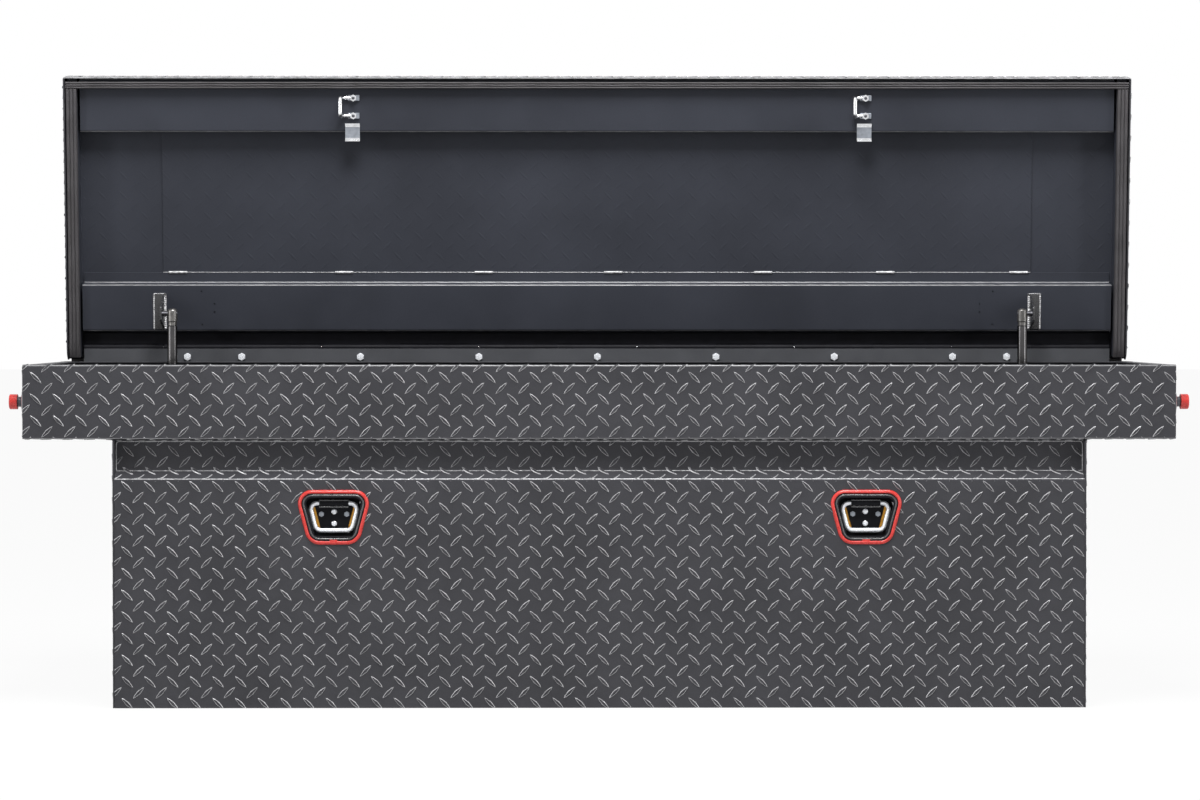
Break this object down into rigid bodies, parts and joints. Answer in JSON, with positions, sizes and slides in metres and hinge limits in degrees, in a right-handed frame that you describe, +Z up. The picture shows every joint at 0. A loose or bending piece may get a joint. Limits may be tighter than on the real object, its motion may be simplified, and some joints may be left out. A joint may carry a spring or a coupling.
{
  "type": "truck saddle box",
  "caption": "Cross-bed truck tool box in dark tread plate with wings, a hinged lid on gas struts, push-button latches and recessed tie-down rings.",
  "frame": {"origin": "middle of the flat base, on its underside", "axes": "+X along the box to the right-hand end as seen from the front, +Y to the back where the hinge is, +Z up"},
  "size_m": [1.867, 0.5113, 1.0238],
  "materials": {
    "tread": "dark powder coat on tread plate",
    "smooth": "dark powder coat on smooth sheet",
    "rubber": "ribbed dark rubber",
    "zinc": "bright zinc plate",
    "steel": "dark oiled steel",
    "chrome": "bright",
    "gold": "yellow zinc plate",
    "brass": "satin",
    "red": "red moulded",
    "black": "black"
  },
  "bodies": {
    "box": {"front_panel": "tread", "back_panel": "tread", "floor_panel": "tread", "left_end_panel": "tread", "right_end_panel": "tread", "hinge_rail": "smooth", "hinge_body_leaf": "smooth", "hinge_pin": "zinc", "left_strut_foot": "smooth", "right_strut_foot": "smooth", "left_latch_housing": "zinc", "right_latch_housing": "zinc", "left_lock_bezel": "chrome", "right_lock_bezel": "chrome", "left_lock_nut": "steel", "right_lock_nut": "steel", "left_tie_bezel": "red", "right_tie_bezel": "red", "left_tie_tray": "black", "right_tie_tray": "black", "left_tie_backing": "gold", "right_tie_backing": "gold", "left_tie_plate": "black", "right_tie_plate": "black", "left_tie_sleeve": "steel", "right_tie_sleeve": "steel"},
    "lid": {"lid_skin": "tread", "lid_doubler": "smooth", "lid_front_channel": "smooth", "lid_rear_channel": "smooth", "lid_left_channel": "smooth", "lid_right_channel": "smooth", "lid_front_seal": "rubber", "lid_left_seal": "rubber", "lid_right_seal": "rubber", "hinge_lid_leaf": "smooth", "left_striker": "zinc", "right_striker": "zinc", "left_guide_plate": "zinc", "right_guide_plate": "zinc", "left_lid_bracket": "smooth", "right_lid_bracket": "smooth"},
    "left_strut": {"left_strut_cylinder": "black", "left_strut_socket": "black"},
    "right_strut": {"right_strut_cylinder": "black", "right_strut_socket": "black"},
    "left_rod": {"left_strut_rod": "zinc"},
    "right_rod": {"right_strut_rod": "zinc"},
    "left_button": {"left_push_button": "red", "left_release_rod": "steel"},
    "right_button": {"right_push_button": "red", "right_release_rod": "steel"},
    "left_key": {"left_key_plug": "brass"},
    "right_key": {"right_key_plug": "brass"},
    "left_claw": {"left_latch_claw": "steel"},
    "right_claw": {"right_latch_claw": "steel"},
    "left_pawl": {"left_latch_pawl": "steel"},
    "right_pawl": {"right_latch_pawl": "steel"},
    "left_ring": {"left_tie_ring": "zinc"},
    "right_ring": {"right_tie_ring": "zinc"}
  },
  "joints": [
    {"name": "lid_hinge", "type": "hinge", "parent": "box", "child": "lid", "pos_m": [0, 0.21, 0.565], "axis": [1, 0, 0], "range_deg": [0, 85], "stiffness_Nm_per_rad": 20, "springref_deg": -45.84},
    {"name": "left_strut_swing", "type": "hinge", "parent": "lid", "child": "left_strut", "pos_m": [-0.715, 0.14981, 0.62197], "axis": [1, 0, 0], "range_deg": [-84.6, 0]},
    {"name": "right_strut_swing", "type": "hinge", "parent": "lid", "child": "right_strut", "pos_m": [0.715, 0.14981, 0.62197], "axis": [1, 0, 0], "range_deg": [-84.6, 0]},
    {"name": "left_strut_slide", "type": "slide", "parent": "left_strut", "child": "left_rod", "axis": [0, 0, 1], "range_m": [0, 0.112]},
    {"name": "right_strut_slide", "type": "slide", "parent": "right_strut", "child": "right_rod", "axis": [0, 0, 1], "range_m": [0, 0.112]},
    {"name": "left_button_press", "type": "slide", "parent": "box", "child": "left_button", "axis": [1, 0, 0], "range_m": [0, 0.006], "stiffness_N_per_m": 400, "springref_m": -0.003},
    {"name": "right_button_press", "type": "slide", "parent": "box", "child": "right_button", "axis": [-1, 0, 0], "range_m": [0, 0.006], "stiffness_N_per_m": 400, "springref_m": -0.003},
    {"name": "left_key_turn", "type": "hinge", "parent": "left_button", "child": "left_key", "pos_m": [-0.908, -0.216, 0.482], "axis": [1, 0, 0], "range_deg": [0, 90]},
    {"name": "right_key_turn", "type": "hinge", "parent": "right_button", "child": "right_key", "pos_m": [0.908, -0.216, 0.482], "axis": [-1, 0, 0], "range_deg": [0, 90]},
    {"name": "left_claw_turn", "type": "hinge", "parent": "box", "child": "left_claw", "pos_m": [-0.451, -0.1975, 0.499], "axis": [0, 1, 0], "range_deg": [0, 40], "stiffness_Nm_per_rad": 0.05, "springref_deg": -17.19},
    {"name": "right_claw_turn", "type": "hinge", "parent": "box", "child": "right_claw", "pos_m": [0.451, -0.1975, 0.499], "axis": [0, -1, 0], "range_deg": [0, 40], "stiffness_Nm_per_rad": 0.05, "springref_deg": -17.19},
    {"name": "left_pawl_turn", "type": "hinge", "parent": "box", "child": "left_pawl", "pos_m": [-0.475, -0.1927, 0.499], "axis": [0, -1, 0], "range_deg": [0, 24.5]},
    {"name": "right_pawl_turn", "type": "hinge", "parent": "box", "child": "right_pawl", "pos_m": [0.475, -0.1927, 0.499], "axis": [0, 1, 0], "range_deg": [0, 24.5]},
    {"name": "left_ring_swing", "type": "hinge", "parent": "box", "child": "left_ring", "pos_m": [-0.4195, -0.2422, 0.3225], "axis": [-1, 0, 0], "range_deg": [0, 100]},
    {"name": "right_ring_swing", "type": "hinge", "parent": "box", "child": "right_ring", "pos_m": [0.4195, -0.2422, 0.3225], "axis": [-1, 0, 0], "range_deg": [0, 100]}
  ],
  "couplings": [
    {"joint": "left_strut_swing", "follows": "lid_hinge", "ratio": -0.995},
    {"joint": "right_strut_swing", "follows": "lid_hinge", "ratio": -0.995},
    {"joint": "left_strut_slide", "follows": "lid_hinge", "m_per_rad": 0.07549},
    {"joint": "right_strut_slide", "follows": "lid_hinge", "m_per_rad": 0.07549},
    {"joint": "left_pawl_turn", "follows": "left_button_press", "rad_per_m": 71.2},
    {"joint": "right_pawl_turn", "follows": "right_button_press", "rad_per_m": 71.2}
  ]
}
